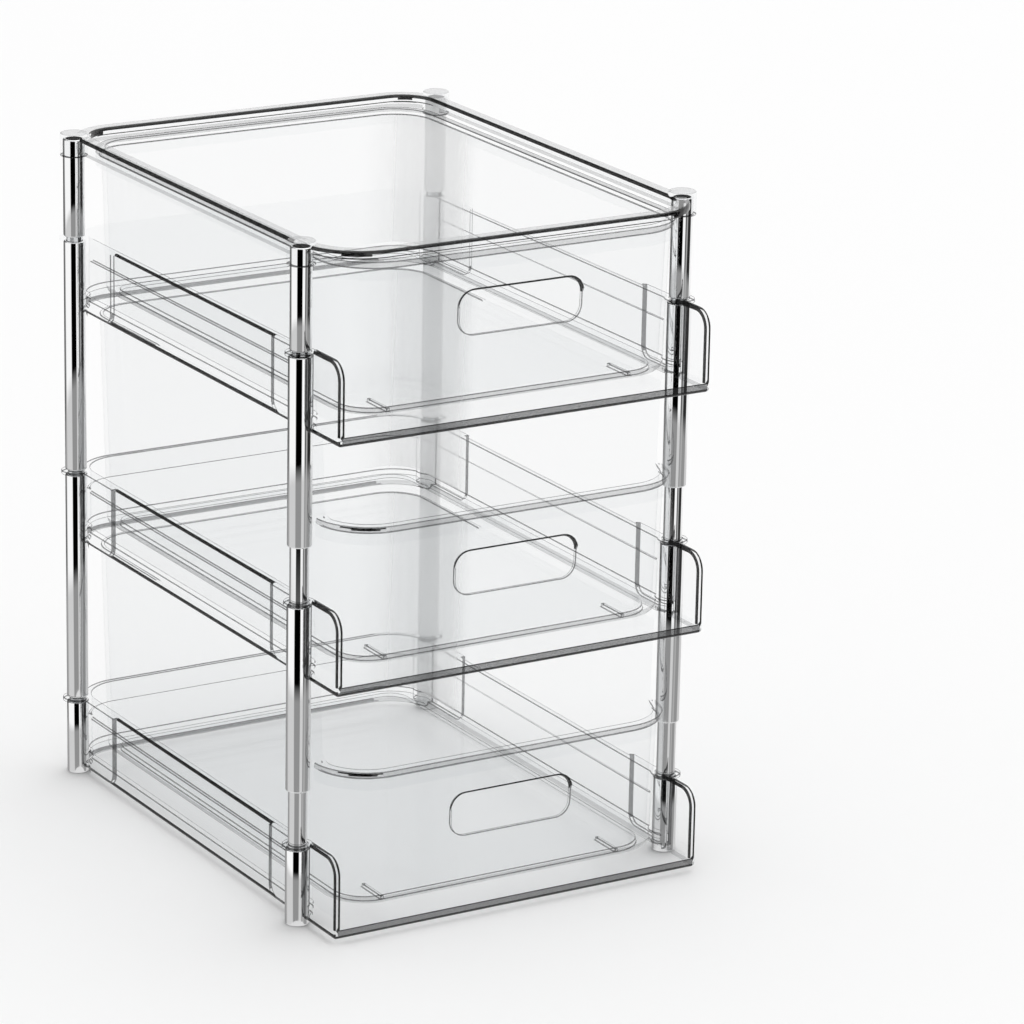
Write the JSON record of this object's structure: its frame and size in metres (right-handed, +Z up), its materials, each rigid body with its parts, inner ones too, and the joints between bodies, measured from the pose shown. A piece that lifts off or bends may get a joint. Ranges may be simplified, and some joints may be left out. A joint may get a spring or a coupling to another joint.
{
  "type": "drawer organizer",
  "caption": "Free-standing clear plastic organizer: stacked trays on chrome corner posts under an open top ring, each tray holding a pull-out drawer with a finger slot in its front.",
  "frame": {"origin": "middle of the footprint, on the floor that the feet stand on", "axes": "+Z up, -Y to the front where the drawers come out, +X to the right for someone facing the front"},
  "size_m": [0.236, 0.302, 0.3573],
  "materials": {
    "clear_tray": "clear polished plastic",
    "clear_drawer": "clear polished plastic",
    "clear_ring": "clear polished plastic with mirror-bright edges",
    "chrome_tube": "mirror chrome",
    "pin_steel": "bright steel",
    "plug_plastic": "matt"
  },
  "bodies": {
    "stand": {"top_ring": "clear_ring", "top_tray": "clear_tray", "middle_tray": "clear_tray", "bottom_tray": "clear_tray", "front_left_top_leg": "chrome_tube", "front_left_upper_leg": "chrome_tube", "front_left_middle_leg": "chrome_tube", "front_left_foot_leg": "chrome_tube", "front_right_top_leg": "chrome_tube", "front_right_upper_leg": "chrome_tube", "front_right_middle_leg": "chrome_tube", "front_right_foot_leg": "chrome_tube", "rear_left_top_leg": "chrome_tube", "rear_left_upper_leg": "chrome_tube", "rear_left_middle_leg": "chrome_tube", "rear_left_foot_leg": "chrome_tube", "rear_right_top_leg": "chrome_tube", "rear_right_upper_leg": "chrome_tube", "rear_right_middle_leg": "chrome_tube", "rear_right_foot_leg": "chrome_tube", "front_left_top_pin": "pin_steel", "front_left_middle_pin": "pin_steel", "front_left_bottom_pin": "pin_steel", "front_right_top_pin": "pin_steel", "front_right_middle_pin": "pin_steel", "front_right_bottom_pin": "pin_steel", "rear_left_top_pin": "pin_steel", "rear_left_middle_pin": "pin_steel", "rear_left_bottom_pin": "pin_steel", "rear_right_top_pin": "pin_steel", "rear_right_middle_pin": "pin_steel", "rear_right_bottom_pin": "pin_steel", "front_left_foot_plug": "plug_plastic", "front_right_foot_plug": "plug_plastic", "rear_left_foot_plug": "plug_plastic", "rear_right_foot_plug": "plug_plastic"},
    "upper_bin": {"top_drawer": "clear_drawer"},
    "middle_bin": {"middle_drawer": "clear_drawer"},
    "lower_bin": {"bottom_drawer": "clear_drawer"}
  },
  "joints": [
    {"name": "top_drawer_slide", "type": "slide", "parent": "stand", "child": "upper_bin", "axis": [0, -1, 0], "range_m": [0, 0.2]},
    {"name": "middle_drawer_slide", "type": "slide", "parent": "stand", "child": "middle_bin", "axis": [0, -1, 0], "range_m": [0, 0.2]},
    {"name": "bottom_drawer_slide", "type": "slide", "parent": "stand", "child": "lower_bin", "axis": [0, -1, 0], "range_m": [0, 0.2]}
  ]
}
